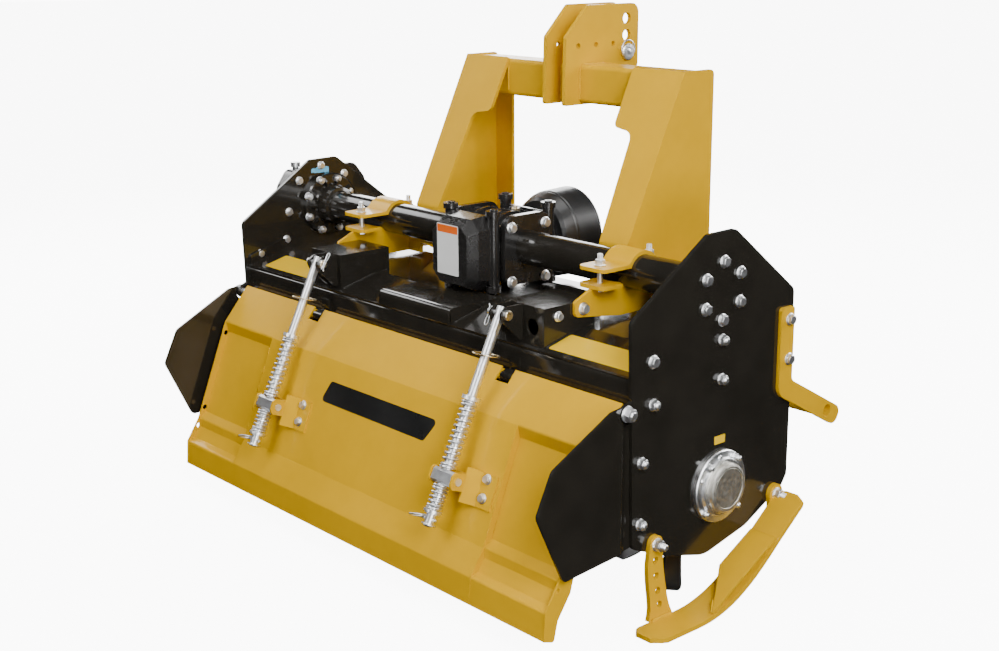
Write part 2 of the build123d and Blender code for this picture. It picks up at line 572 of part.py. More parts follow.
def blade():
    """A hoe blade on top of the rotor: a curved leg from X = 0, and a tip bent over to +X."""
    root, side = Vector(math.sin(math.radians(lean)), math.cos(math.radians(lean))), 18.0
    forward = Vector(root.Y, -root.X)
    low_front, high_front = root * 50 + forward * side, root * 108 + forward * side
    low_back, high_back = root * 50 - forward * side, root * 108 - forward * side
    tip = math.sqrt(tip_r ** 2 - 28 ** 2)
    edge = [Line(low_back, low_front), Line(low_front, high_front),
            ThreePointArc(high_front, Vector(51, 0.72 * tip_r), Vector(28, tip)),
            ThreePointArc(Vector(28, tip), Vector(0, tip_r), Vector(-28, tip)),
            ThreePointArc(Vector(-28, tip), Vector(-2, 0.74 * tip_r), high_back),
            Line(high_back, low_back)]
    leg = extrude(Plane.YZ * make_face(edge), amount=blade_reach, dir=(1, 0, 0))
    bend = outline([(0, 0), (blade_t, 0), (blade_t, tip_r - blade_t, 13),
                    (blade_reach, tip_r - blade_t + 3), (blade_reach, tip_r), (0, tip_r, 20)])
    return leg & extrude(Plane.XZ.offset(-100) * bend, amount=200)


def rotor():
    tube = sleeve(0, 0, first_x, last_x, shaft_tube_r, shaft_tube_r - shaft_tube_wall)
    hoes = []
    hoe = blade()
    for i in range(flange_count):
        x = first_x + (last_x - first_x) / (flange_count - 1) * i
        at_end = i in (0, flange_count - 1)
        count = 4 if at_end else 6
        disc = Circle(disc_out) - Circle(shaft_tube_r)
        disc -= PolarLocations(disc_out + 12, count, 90 + 180 / count) * Circle(26 if count == 6 else 34)
        turn = first_turn + twist * i
        disc = extrude(Plane.YZ.offset(x - disc_thick / 2) * disc, amount=disc_thick, dir=(1, 0, 0))
        tube += Rot(turn, 0, 0) * disc
        for k in range(count):
            # the blades of an end flange stand outside it and bend in, the others alternate
            inward = 1 if i == 0 or (not at_end and k % 2) else -1
            face = -disc_thick / 2 - blade_t if at_end else disc_thick / 2
            tool = hoe if inward > 0 else mirrored(hoe)
            angle = turn + 360 / count * k + lean
            hoes.append(Pos(x + inward * face, 0, 0) * Rot(angle, 0, 0) * tool)
    for face, outward, length in ((first_x, -1, rotor_gap + 30), (last_x, 1, rotor_gap + 20)):
        tube += turned((face, 0, 0), (outward, 0, 0),
                       [(-12, 0), (-12, shaft_tube_r), (0, 44), (8, 44), (12, 34), (22, stub_r),
                        (length - 2, stub_r), (length, stub_r - 2), (length, 0)])
    return tube, hoes


rotor_tube, hoes = rotor()
nodes["rotor_tube"] = rotor_tube
nodes["rotor_blades"] = Compound(hoes)

# ---- bearing on the right, gear case on the left ----
bearing_r, bearing_t, cap_r, cap_out = 75.0, 12.0, 52.0, 29.0
nodes["bearing_housing"] = turned(
    (right_face, 0, 0), (1, 0, 0),
    [(0, stub_r + running), (0, bearing_r), (7, bearing_r), (9, bearing_r - 2), (10, cap_r + 9),
     (bearing_t + 3, cap_r + 6), (bearing_t + 3, cap_r + 0.5), (bearing_t, cap_r + 0.5),
     (bearing_t, stub_r + running)])
nodes["bearing_cap"] = turned(
    (right_face, 0, 0), (1, 0, 0),
    [(bearing_t, cap_r - 5), (bearing_t, cap_r), (cap_out - 6, cap_r), (cap_out - 2, cap_r - 2),
     (cap_out, cap_r - 6), (cap_out - 1, 0), (cap_out - 5, 0), (cap_out - 5, cap_r - 7)])

case_w, case_wall, case_half, stub_in = 62.0, 8.0, 112.0, 34.0
case_top = tube_z + 87
case_out = [(-case_half, -40, 60), (-case_half, tube_z + 45, 30), (-82, case_top, 24),
            (82, case_top, 24), (case_half, tube_z + 45, 30), (case_half, -40, 60),
            (58, -94, 40), (-58, -94, 40)]
breather_x, breather_y = -left_face - 30, -72.0


def gear_case():
    """A cast case over the side gears, closed by the side plate, with a rim and two raised rings."""
    x0, x1 = left_face, left_face + case_w
    shape = plate(case_out, x0, x1)
    rim = [(y * 1.1, z + (8 if z > tube_z else -8 if z < -60 else 0), r) for y, z, r in case_out]
    shape += plate(rim, x0, x0 + 10)
    for z, r in ((0, 62), (tube_z, 70)):
        shape += across(0, z, x1 - 2, x1 + 5, r)
    shape -= plate([(y * 0.93, z + (-case_wall if z > 0 else case_wall), r - case_wall)
                    for y, z, r in case_out], x0, x1 - case_wall)
    # a boss inside holds the end of the rotor's stub shaft
    shape += across(0, 0, x0 + case_wall, x1, stub_r + 14)
    return mirrored(shape - across(0, 0, x0, x0 + stub_in, stub_r + running))


nodes["gear_case"] = gear_case()
nodes["breather"] = bar((breather_x, breather_y, case_top), (breather_x, breather_y, case_top + 12), 8) \
    + bar((breather_x, breather_y, case_top + 10), (breather_x, breather_y, case_top + 22), 12)

# ---- skids ----
strap_in, skid_t = 10.0, 10.0           # side plate to the strap, and the strap's thickness
front_bolt, rear_bolt = (176.0, -64.0), (-177.0, -71.0)
sole = -rotor_z


def skid():
    """Drawn from the side plate's face: a bent strap, a perforated upright and a front ear."""
    line = [(-255, sole), (-80, sole), (-28, sole + 12), (26, sole + 52),
            (front_bolt[0] - 84, front_bolt[1] - 56), (front_bolt[0] + 2, front_bolt[1] + 4)]
    strap_shape = plate(folded(line, skid_t, 70), strap_in, skid_w)
    footprint = plan([(0, -255), (skid_w - 26, -255, 10), (skid_w, -232, 10), (skid_w, 400), (0, 400)],
                     sole - 1, 0)
    ramp_top = Plane(origin=(0, line[-1][0], line[-1][1]), x_dir=(1, 0, 0),
                     z_dir=(0, -(line[-1][1] - line[-2][1]), line[-1][0] - line[-2][0]))
    strap_shape &= footprint
    round_end = extrude(ramp_top * Pos(skid_w / 2 + 20, -140) * RectangleRounded(skid_w + 40, 280, 24),
                        amount=200, both=True)
    strap_shape &= round_end + box(0, skid_w, -400, line[-2][0], sole - 1, 200)
    # upright: an arc of holes about the front bolt
    swing = math.dist(front_bolt, rear_bolt)
    start = math.degrees(math.atan2(rear_bolt[1] - front_bolt[1], rear_bolt[0] - front_bolt[0]))
    pitch = math.degrees(33 / swing)
    foot_z = sole + skid_t
    upright_bar = plate([(-198, -60, 16), (-158, -60, 16), (-158, -110), (-150, -160),
                         (-138, foot_z), (-206, foot_z), (-208, -160), (-204, -110)], 0, strap_in)
    for i in range(5):
        angle = math.radians(start + pitch * i)
        upright_bar -= across(front_bolt[0] + swing * math.cos(angle),
                              front_bolt[1] + swing * math.sin(angle), 0, strap_in, 7)
    upright_bar += box(0, strap_in, -206, -138, sole, foot_z)
    # front ear: a teardrop that runs down into the strap
    drop = across(*front_bolt, 0, strap_in, 17) \
        + plate([(front_bolt[0] - 17, front_bolt[1] - 2), (front_bolt[0] + 17, front_bolt[1] - 2),
                 (front_bolt[0] + 8, front_bolt[1] - 22), (front_bolt[0] - 20, front_bolt[1] - 40)],
                0, strap_in)
    drop -= across(*front_bolt, 0, strap_in, 7)
    # chord plate across the bend, cut off slantwise behind
    chord = plate([(-116, sole + skid_t - 1), (-108, sole + skid_t - 1), (90, front_bolt[1] - 48),
                   (84, front_bolt[1] - 44)], 22, skid_w)
    chord -= plan([(0, -10), (skid_w, -112), (skid_w, -300), (0, -300)], sole, 0)
    return strap_shape + upright_bar + drop + chord


right_skid = skid()
pair("skid", Pos(right_face, 0, 0) * right_skid, mirrored(Pos(left_face, 0, 0) * right_skid))

# ---- side shields: a joggled sheet behind each side plate ----
tab_front, tab_top, joggle_y = -215.0, 183.0, (-262.0, -280.0)


def side_shield():
    """Drawn from the side plate's outer face: a tab inside the plate, a panel flush with its face."""
    panel = plate([(-274, 224), (-308, 220, 14), (-457, 143, 20), (-shield_back, 64, 16),
                   (-428, -80, 14), (-248, -66), (tab_front, -52, 8), (tab_front, tab_top, 8),
                   (-262, tab_top)], -plate_t - sheet_t, 0)
    tab, face = -plate_t - sheet_t, -sheet_t
    fold = [(tab, tab_front), (tab, joggle_y[0], 4), (face, joggle_y[1], 8), (face, -shield_back - 1),
            (0, -shield_back - 1), (0, joggle_y[1] + 1.5, 4), (-plate_t, joggle_y[0] - 1.5, 8),
            (-plate_t, tab_front)]
    panel &= plan(fold, -300, 300)
    return panel - across(hinge_y, hinge_z, -plate_t - sheet_t, 0, ear_r + 3)


shield = side_shield()
pair("side_shield", Pos(right_face, 0, 0) * shield, mirrored(Pos(left_face, 0, 0) * shield))

# ---- guard arms and the bar between them ----
arm_w, arm_t = 42.0, 8.0
arm_elbow, arm_tip = Vector(193, 165), Vector(362, 71)
arm_dir = (arm_tip - arm_elbow).normalized()
arm_side = Vector(-arm_dir.Y, arm_dir.X) * (arm_w / 2)
guard_bar_r, guard_bar_wall = 16.0, 3.0


def guard_arm():
    """Drawn from the side plate's face: an upright strip whose lower end turns forward."""
    end = arm_tip + arm_dir * (arm_w / 2)
    high = arm_elbow + arm_side + arm_dir * ((arm_w / 2 - arm_side.X) / arm_dir.X)
    low = arm_elbow - arm_side - arm_dir * ((arm_w / 2 - arm_side.X) / arm_dir.X)
    corners = [(arm_elbow.X - arm_w / 2, 335, 8), (arm_elbow.X + arm_w / 2, 335, 8),
               (high.X, high.Y, 15), ((end + arm_side).X, (end + arm_side).Y, 19),
               ((end - arm_side).X, (end - arm_side).Y, 19), (low.X, low.Y, 30)]
    return plate(corners, 0, arm_t)


arm = guard_arm()
bar_point = arm_tip - arm_dir * 24
arm -= across(bar_point.X, bar_point.Y, 0, arm_t, guard_bar_r)
pair("guard_arm", Pos(right_face, 0, 0) * arm, mirrored(Pos(left_face, 0, 0) * arm))
nodes["front_guard_bar"] = sleeve(bar_point.X, bar_point.Y, -left_face - arm_t, right_face + arm_t,
                                  guard_bar_r, guard_bar_r - guard_bar_wall)


def save():
    os.makedirs("parts", exist_ok=True)
    for name, shape in nodes.items():
        export_step(middle * shape, f"parts/{name}.step")


save()
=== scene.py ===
import json
import math
import random
import bmesh
import bpy
from mathutils import Euler, Matrix, Vector
from mathutils.bvhtree import BVHTree
from mathutils.geometry import tessellate_polygon


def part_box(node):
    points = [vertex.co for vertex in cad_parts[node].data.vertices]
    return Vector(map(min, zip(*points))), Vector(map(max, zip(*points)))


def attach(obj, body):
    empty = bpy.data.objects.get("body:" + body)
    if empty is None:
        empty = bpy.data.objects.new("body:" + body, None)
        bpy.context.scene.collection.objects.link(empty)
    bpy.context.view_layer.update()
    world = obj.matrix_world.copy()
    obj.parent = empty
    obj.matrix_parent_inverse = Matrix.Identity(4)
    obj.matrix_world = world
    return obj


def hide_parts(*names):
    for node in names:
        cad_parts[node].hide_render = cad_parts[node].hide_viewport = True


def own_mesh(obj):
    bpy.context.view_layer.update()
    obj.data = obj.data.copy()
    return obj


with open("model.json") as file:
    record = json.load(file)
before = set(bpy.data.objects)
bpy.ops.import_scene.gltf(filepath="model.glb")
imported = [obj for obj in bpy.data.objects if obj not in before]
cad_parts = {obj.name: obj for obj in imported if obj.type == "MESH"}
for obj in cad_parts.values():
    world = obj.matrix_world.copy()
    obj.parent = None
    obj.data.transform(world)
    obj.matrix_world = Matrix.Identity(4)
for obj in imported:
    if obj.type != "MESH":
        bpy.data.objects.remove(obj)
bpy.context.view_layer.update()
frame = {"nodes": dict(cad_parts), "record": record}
chance = random.Random(7)


# ---- places: millimetres from the rotor axis, under the gearbox's middle ----
def middle(node):
    """The middle of a node's box, in metres."""
    low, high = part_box(node)
    return (Vector(low) + Vector(high)) / 2


ORIGIN = Vector((middle("pto_guard").x, middle("bearing_housing").y, middle("bearing_housing").z))
trees = {}


def at(x, y, z):
    """A point in millimetres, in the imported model's frame."""
    return Vector((x, y, z)) / 1000 + ORIGIN


def span(node, axis):
    """A node's lowest and highest place along an axis, in millimetres."""
    low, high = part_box(node)
    return (low[axis] - ORIGIN[axis]) * 1000, (high[axis] - ORIGIN[axis]) * 1000


def spot(node, start, along):
    """Where a line meets a node, in millimetres, and the way the surface faces there."""
    if node not in trees:
        mesh = frame["nodes"][node].data
        trees[node] = BVHTree.FromPolygons([v.co for v in mesh.vertices],
                                           [p.vertices for p in mesh.polygons])
    place, normal = trees[node].ray_cast(at(*start), Vector(along))[:2]
    if place is None:
        raise ValueError(f"no {node} along the line from {start}")
    facing = normal if normal.dot(Vector(along)) < 0 else -normal
    return (place - ORIGIN) * 1000, facing.normalized()


RIGHT, LEFT = span("right_side_plate", 0)[1], span("left_side_plate", 0)[0]
RIGHT_IN, LEFT_IN = span("right_side_plate", 0)[0], span("left_side_plate", 0)[1]
TUBE_Z = sum(span("drive_tube", 2)) / 2
HINGE_Y, HINGE_Z = sum(span("hinge_rod", 1)) / 2, sum(span("hinge_rod", 2)) / 2
CLAMP_X = sum(span("right_clamp_saddle", 0)) / 2
ROD_X = sum(span("right_rod", 0)) / 2
ROD_PIN = Vector((0, sum(span("right_rod_pin", 1)) / 2, sum(span("right_rod_pin", 2)) / 2))
ROD_DIR = Vector((0, -194, -399)).normalized()              # down the spring rods from their pins
SKID_FRONT, SKID_REAR = (176.0, -62.0), (-189.0, -70.0)     # the skids' bolts, in y and z
SIDES = ((1, "right"), (-1, "left"))
ABOVE_DECK, ABOVE_GEARBOX = 420.0, 620.0                    # where lines down onto them start


# ---- materials ----
def shader(name, **inputs):
    """A new material and its principled shader, with the given socket values."""
    material = bpy.data.materials.new(name)
    material.use_nodes = True
    bsdf = material.node_tree.nodes["Principled BSDF"]
    for socket, value in inputs.items():
        bsdf.inputs[socket.replace("_", " ")].default_value = value
    return material, bsdf


def noise(tree, scale, detail=4.0, rough=0.6, stretch=None):
    """Object-space noise, about scale bumps to the metre."""
    place = tree.nodes.new("ShaderNodeTexCoord").outputs["Object"]
    if stretch:
        mapping = tree.nodes.new("ShaderNodeMapping")
        mapping.inputs["Scale"].default_value = stretch
        tree.links.new(place, mapping.inputs["Vector"])
        place = mapping.outputs["Vector"]
    texture = tree.nodes.new("ShaderNodeTexNoise")
    texture.inputs["Scale"].default_value = scale
    texture.inputs["Detail"].default_value = detail
    texture.inputs["Roughness"].default_value = rough
    tree.links.new(place, texture.inputs["Vector"])
    return texture.outputs["Fac"]


def spread(tree, value, low, high, start=0.3, end=0.7):
    """Maps start..end of a value onto low..high."""
    node = tree.nodes.new("ShaderNodeMapRange")
    node.inputs["From Min"].default_value = start
    node.inputs["From Max"].default_value = end
    node.inputs["To Min"].default_value = low
    node.inputs["To Max"].default_value = high
    tree.links.new(value, node.inputs["Value"])
    return node.outputs["Result"]


def two_colours(tree, value, first, second, start=0.35, end=0.65):
    """A mix from first to second by a value from 0 to 1."""
    ramp = tree.nodes.new("ShaderNodeValToRGB")
    ramp.color_ramp.elements[0].color = (*first, 1)
    ramp.color_ramp.elements[1].color = (*second, 1)
    ramp.color_ramp.elements[0].position = start
    ramp.color_ramp.elements[1].position = end
    tree.links.new(value, ramp.inputs["Fac"])
    return ramp.outputs["Color"]


def bump(tree, bsdf, layers, edge=0.0):
    """Stacks (height value, depth in metres) layers as bumps, over softly rounded edges."""
    last = None
    if edge:
        rounded = tree.nodes.new("ShaderNodeBevel")
        rounded.samples = 4
        rounded.inputs["Radius"].default_value = edge
        last = rounded.outputs["Normal"]
    for height, depth in layers:
        node = tree.nodes.new("ShaderNodeBump")
        node.inputs["Strength"].default_value = 1.0
        node.inputs["Distance"].default_value = depth
        tree.links.new(height, node.inputs["Height"])
        if last:
            tree.links.new(last, node.inputs["Normal"])
        last = node.outputs["Normal"]
    tree.links.new(last, bsdf.inputs["Normal"])


def enamel(name, first, second, low, high, peel=0.00006, coat=0.3, edge=0.0012, ior=1.5):
    """Glossy paint over steel: slight mottling, uneven gloss and orange peel."""
    material, bsdf = shader(name, Metallic=0.0, IOR=ior, Coat_Weight=coat, Coat_Roughness=0.05)
    tree = material.node_tree
    colour = two_colours(tree, noise(tree, 9), first, second)
    tree.links.new(colour, bsdf.inputs["Base Color"])
    tree.links.new(spread(tree, noise(tree, 14), low, high), bsdf.inputs["Roughness"])
    bump(tree, bsdf, [(noise(tree, 260, 2), peel), (noise(tree, 11, 2), 0.0005)], edge)
    return material


def plated(name, first, second, low, high):
    """Zinc plating: bright metal with a fine grain and cloudy patches."""
    material, bsdf = shader(name, Metallic=1.0)
    tree = material.node_tree
    tree.links.new(two_colours(tree, noise(tree, 60), first, second), bsdf.inputs["Base Color"])
    tree.links.new(spread(tree, noise(tree, 140), low, high), bsdf.inputs["Roughness"])
    bump(tree, bsdf, [(noise(tree, 900, 3), 0.00006)], 0.0005)
    return material


# two colours that mottle, lowest and highest roughness, depth of the orange peel, coat, rounding of edges
yellow = enamel("yellow_enamel", (0.63, 0.345, 0.0), (0.67, 0.368, 0.0), 0.32, 0.42, coat=0.2, ior=1.2)
black = enamel("black_enamel", (0.013, 0.0115, 0.009), (0.018, 0.016, 0.0125), 0.10, 0.20, coat=0.3)
casting = enamel("black_casting", (0.011, 0.010, 0.0095), (0.018, 0.017, 0.016), 0.18, 0.34, 0.00035)
hoe_paint = enamel("blade_enamel", (0.014, 0.013, 0.012), (0.024, 0.022, 0.020), 0.26, 0.40, 0.0001)
plastic = enamel("black_plastic", (0.014, 0.014, 0.014), (0.020, 0.020, 0.020), 0.28, 0.40, 0.0001, 0.1)
zinc = plated("zinc", (0.84, 0.85, 0.86), (0.90, 0.91, 0.92), 0.30, 0.46)
golden = plated("golden_zinc", (0.70, 0.58, 0.36), (0.80, 0.70, 0.50), 0.22, 0.40)
cap_metal = plated("cap_metal", (0.72, 0.70, 0.62), (0.82, 0.80, 0.73), 0.36, 0.56)
label_yellow = enamel("label_yellow", (0.84, 0.52, 0.004), (0.88, 0.55, 0.006), 0.30, 0.38, 0.00001, 0.2, 0)
label_white = enamel("label_white", (0.74, 0.74, 0.72), (0.80, 0.80, 0.79), 0.30, 0.38, 0.00001, 0.2, 0)
label_orange = enamel("label_orange", (0.80, 0.13, 0.01), (0.84, 0.15, 0.01), 0.30, 0.38, 0.00001, 0.2, 0)
label_blue = enamel("assembly_mark_blue", (0.10, 0.42, 0.66), (0.16, 0.52, 0.76), 0.4, 0.5, 0.0001, 0.1, 0)
label_black = enamel("label_black", (0.008, 0.008, 0.008), (0.012, 0.012, 0.012), 0.26, 0.36, 0.00001, 0.3, 0)

BY_SLOT = {"yellow_paint": yellow, "black_paint": black, "zinc": zinc, "black_plastic": plastic}
BY_NODE = {"gearbox_housing": casting, "gear_case": casting, "rotor_tube": hoe_paint,
           "rotor_blades": hoe_paint, "bearing_cap": cap_metal}

for part in frame["record"]["subparts"]:
    node = frame["nodes"][part["node"]]
    node.data.materials.clear()
    node.data.materials.append(BY_NODE.get(part["node"], BY_SLOT[part["material_slot"]]))


# ---- forms ----
class Form:
    """The points and faces of one piece, in millimetres."""

    def __init__(self):
        self.points, self.faces = [], []

    def skin(self, rings, ends=True, loop=False):
        """Joins rings of equally many points into a skin, and closes its ends."""
        base, n = len(self.points), len(rings[0])
        for ring in rings:
            self.points += [tuple(p) for p in ring]
        rows = len(rings)
        for k in range(rows if loop else rows - 1):
            low, high = base + k * n, base + (k + 1) % rows * n
            for i in range(n):
                j = (i + 1) % n
                self.faces.append((low + i, low + j, high + j, high + i))
        if ends and not loop:
            self.faces.append(tuple(range(base + n - 1, base - 1, -1)))
            self.faces.append(tuple(range(base + (rows - 1) * n, base + rows * n)))

    def piece(self, name, body, material, sharp=32):
        """Makes the object, which rides on a body."""
        mesh = bpy.data.meshes.new(name)
        mesh.from_pydata([at(*p) for p in self.points], [], self.faces)
        solid = bmesh.new()
        solid.from_mesh(mesh)
        bmesh.ops.recalc_face_normals(solid, faces=solid.faces)
        solid.to_mesh(mesh)
        solid.free()
        mesh.polygons.foreach_set("use_smooth", [True] * len(mesh.polygons))
        mesh.set_sharp_from_angle(angle=math.radians(sharp))
        mesh.materials.append(material)
        made = bpy.data.objects.new(name, mesh)
        bpy.context.scene.collection.objects.link(made)
        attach(made, body)
        return made


def seat(place, along, turn=0.0):
    """A frame at a place, its z axis along a direction, turned about it by degrees."""
    facing = Vector(along).to_track_quat("Z", "Y").to_matrix().to_4x4()
    return Matrix.Translation(Vector(place)) @ facing @ Matrix.Rotation(math.radians(turn), 4, "Z")


def turned(form, base, profile, sides=28):
    """A round form: its profile is (radius, height) up the frame's z axis."""
    steps = [math.tau * i / sides for i in range(sides)]
    form.skin([[base @ Vector((r * math.cos(a), r * math.sin(a), h)) for a in steps]
               for r, h in profile])


def hexagon(form, base, flats, low, high):
    """A hexagon head or nut from low to high, its upper corners turned off."""
    steps = [math.tau * i / 24 for i in range(24)]
    reach = [flats / 2 / math.cos(a % (math.pi / 3) - math.pi / 6) for a in steps]
    drop = [(r - flats / 2) * 0.58 for r in reach]

    def ring(radii, heights):
        return [base @ Vector((r * math.cos(a), r * math.sin(a), h))
                for a, r, h in zip(steps, radii, heights)]
    form.skin([ring(reach, [low] * 24), ring(reach, [high - d - 0.4 for d in drop]),
               ring([flats * 0.475] * 24, [high] * 24)])


def washer(form, base, radius, thick=2.4):
    """A flat washer with broken edges."""
    turned(form, base, [(radius - 0.4, 0), (radius, 0.5), (radius, thick - 0.5), (radius - 0.6, thick)])


def bolt(form, place, along, size=12.0, flange=True):
    """A hexagon bolt head of a thread size, with its flange or washer."""
    base = seat(place, along, chance.uniform(0, 60))
    flats = size * 1.5
    if flange:
        turned(form, base, [(size * 1.08, -0.2), (size * 1.1, 1.2), (size * 0.98, 2.4), (size * 0.8, 3.4)])
        hexagon(form, base, flats, 2.0, size * 0.80)
    else:
        washer(form, base, size)
        hexagon(form, base, flats, 2.4, size * 0.68 + 2.4)
    top = size * 0.80 if flange else size * 0.68 + 2.4
    turned(form, base, [(flats * 0.40, top - 0.1), (flats * 0.36, top - 0.9), (flats * 0.1, top - 0.9)])


def thread(form, base, radius, low, high, pitch=1.75):
    """A threaded end: grooves between crests, and a chamfered tip."""
    rows, h = [(radius * 0.86, low)], low
    while h < high - pitch:
        rows += [(radius, h + pitch * 0.3), (radius * 0.86, h + pitch * 0.8)]
        h += pitch
    turned(form, base, rows + [(radius * 0.86, high - 0.8), (radius * 0.74, high)], 18)


def nut(form, place, along, size=12.0, stud=6.0, wide=1.0):
    """A washer, a nut and the end of its stud."""
    base = seat(place, along, chance.uniform(0, 60))
    washer(form, base, size * wide)
    hexagon(form, base, size * 1.5, 2.4, 2.4 + size * 0.85)
    thread(form, base, size / 2, 2.4 + size * 0.80, 2.4 + size * 0.85 + stud)


def wire(form, points, radius, sides=8, loop=False):
    """A round wire through points; its radius is one number or one for each point."""
    points = [Vector(p) for p in points]
    count = len(points)
    radii = radius if isinstance(radius, list) else [radius] * count
    rings, side = [], None
    for i, point in enumerate(points):
        after = points[(i + 1) % count] if loop or i < count - 1 else point
        before = points[i - 1] if loop or i else point
        along = (after - before).normalized()
        if side is None:
            side = along.orthogonal().normalized()
        side = (side - along * side.dot(along)).normalized()
        other = along.cross(side)
        steps = [math.tau * k / sides for k in range(sides)]
        rings.append([point + (side * math.cos(a) + other * math.sin(a)) * radii[i] for a in steps])
    form.skin(rings, loop=loop)


def arc(base, radius, start, end, count):
    """Points of an arc about the frame's z axis, from one angle to another in degrees."""
    turns = [math.radians(start + (end - start) * i / (count - 1)) for i in range(count)]
    return [base @ Vector((radius * math.cos(a), radius * math.sin(a), 0)) for a in turns]


def bead(form, points, radius=2.6):
    """A weld bead: a half sunk rope of metal with a ripple for each drop."""
    points, path = [Vector(p) for p in points], []
    for a, b in zip(points, points[1:]):
        steps = max(2, round((b - a).length / 2.2))
        path += [a.lerp(b, i / steps) for i in range(steps)]
    path.append(points[-1])
    radii = [radius * (1 + 0.16 * math.sin(i * 2.1) + chance.uniform(-0.07, 0.07))
             for i in range(len(path))]
    radii[0] = radii[-1] = radius * 0.4
    wire(form, path, radii, 6)


def slab(form, corners, radius, low, high):
    """A thin plate on a surface: four corners in order, rounded, from low to high above it."""
    corners = [Vector(c) for c in corners]
    up = (corners[1] - corners[0]).cross(corners[2] - corners[1]).normalized()
    rim = []
    for i, corner in enumerate(corners):
        back, on = (corners[i - 1] - corner).normalized(), (corners[(i + 1) % 4] - corner).normalized()
        half = back.angle(on) / 2
        centre = corner + (back + on).normalized() * (radius / math.sin(half))
        first = corner + back * (radius / math.tan(half)) - centre
        last = corner + on * (radius / math.tan(half)) - centre
        for k in range(6):
            rim.append(centre + first.slerp(last, k / 5).normalized() * first.length)
    form.skin([[p + up * low for p in rim], [p + up * high for p in rim]])


def cut_plate(form, outline, holes, x0, x1):
    """A flat plate from x0 to x1 with an outline and holes drawn in (y, z)."""
    loops = [outline] + holes
    flat = [Vector((0, y, z)) for loop in loops for y, z in loop]
    triangles = tessellate_polygon([[Vector((y, z, 0)) for y, z in loop] for loop in loops])
    base, count = len(form.points), len(flat)
    for x in (x0, x1):
        form.points += [(x, p.y, p.z) for p in flat]
    for a, b, c in triangles:
        form.faces += [(base + a, base + b, base + c), (base + count + c, base + count + b, base + count + a)]
    start = base
    for loop in loops:
        for i in range(len(loop)):
            a, b = start + i, start + (i + 1) % len(loop)
            form.faces.append((a, b, b + count, a + count))
        start += len(loop)


def smooth(points, steps):
    """Points of a smooth line through some corners."""
    line = []
    for i in range(len(points) - 1):
        a, b = Vector(points[i]), Vector(points[i + 1])
        before = Vector(points[i - 1]) if i else a * 2 - b
        after = Vector(points[i + 2]) if i + 2 < len(points) else b * 2 - a
        for k in range(steps):
            t = k / steps
            line.append(((-t + 2 * t ** 2 - t ** 3) * before + (2 - 5 * t ** 2 + 3 * t ** 3) * a
                         + (t + 4 * t ** 2 - 3 * t ** 3) * b + (t ** 3 - t ** 2) * after) / 2)
    return line + [Vector(points[-1])]


def round_hole(y, z, r, count=20):
    """The outline of a hole, in (y, z)."""
    return [(y + r * math.cos(math.tau * i / count), z + r * math.sin(math.tau * i / count))
            for i in range(count)]


# ---- bolts of the side plates ----
def plate_fasteners():
    """Heads and nuts on the outside of the right plate, and inside the left one."""
    form = Form()
    for k in range(6):
        a = math.radians(90 + 60 * k)
        bolt(form, (RIGHT, -4 + 58 * math.cos(a), TUBE_Z + 58 * math.sin(a)), (1, 0, 0), 12)
    bolt(form, (RIGHT, -199, 296), (1, 0, 0), 12)
    for y, z in ((-3, 302), (-2, 222), (-198, 212), (-227, 103), (-228, -21)):
        nut(form, (RIGHT, y, z), (1, 0, 0), 12, 4)
    form.piece("right_plate_bolts", "frame", zinc)

    form = Form()
    for y, z in ((199, 309), (200, 225)):
        for face, way in ((span("right_guard_arm", 0)[1], 1), (span("left_guard_arm", 0)[0], -1)):
            bolt(form, (face, y, z), (way, 0, 0), 12)
        for face, way in ((RIGHT_IN, -1), (LEFT_IN, 1)):
            nut(form, (face, y, z), (way, 0, 0), 12, 4)
    for y, z in (SKID_FRONT, SKID_REAR):
        nut(form, (RIGHT + 10, y, z), (1, 0, 0), 14, 12)
        nut(form, (LEFT - 10, y, z), (-1, 0, 0), 14, 12)
        bolt(form, (RIGHT_IN, y, z), (-1, 0, 0), 14)
        bolt(form, (LEFT_IN, y, z), (1, 0, 0), 14)
    form.piece("arm_and_skid_bolts", "frame", zinc)

    form = Form()
    face = span("drive_tube", 0)[0] + 12
    for k in range(8):
        a = math.radians(22.5 + 45 * k)
        nut(form, (face, -8 + 68 * math.cos(a), TUBE_Z + 68 * math.sin(a)), (1, 0, 0), 11, 4)
    for y, z in ((-20, 507), (51, 479), (-88, 475), (-122, 399), (-133, 330), (-212, 305)):
        bolt(form, (LEFT_IN, y, z - 8), (1, 0, 0), 10)
    for y, z in ((-198, 212), (-227, 103), (-228, -21), (-60, -90), (90, -70)):
        nut(form, (LEFT_IN, y, z), (1, 0, 0), 10, 3)
    form.piece("left_plate_bolts", "frame", zinc)

    form = Form()                       # the hinge rod's nuts
    for face, way in ((RIGHT, 1), (LEFT, -1)):
        nut(form, (face, HINGE_Y, HINGE_Z), (way, 0, 0), 16, 3)
    form.piece("hinge_rod_nuts", "frame", zinc)


